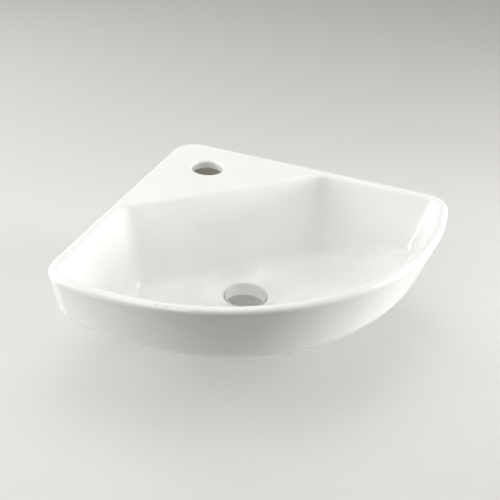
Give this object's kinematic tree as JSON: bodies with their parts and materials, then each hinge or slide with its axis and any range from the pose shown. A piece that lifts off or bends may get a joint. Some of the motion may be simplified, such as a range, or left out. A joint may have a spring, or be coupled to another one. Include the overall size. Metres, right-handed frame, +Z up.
{
  "type": "corner wash basin",
  "caption": "Small wall-hung corner wash basin in white glazed china, with a tap ledge in the corner, a sloped bowl with a waste hole and a bolted wall fixing on each side.",
  "frame": {"origin": "where the two room walls meet, at the level of the rim", "axes": "+Z up; +Y from the room along the diagonal into the room corner; +X to the right of a person who faces the basin, so the walls run at 45 degrees to Y"},
  "size_m": [0.436, 0.3467, 0.115],
  "materials": {
    "vitreous_china": "white sanitary glaze, high gloss",
    "nylon": "natural nylon, moulded",
    "plated_steel": "bright zinc plate"
  },
  "bodies": {
    "root": {"basin": "vitreous_china", "left_wall_plug": "nylon", "left_hanger_bolt": "plated_steel", "left_bush": "nylon", "left_washer": "plated_steel", "left_hex_nut": "plated_steel", "right_wall_plug": "nylon", "right_hanger_bolt": "plated_steel", "right_bush": "nylon", "right_washer": "plated_steel", "right_hex_nut": "plated_steel"}
  },
  "joints": []
}
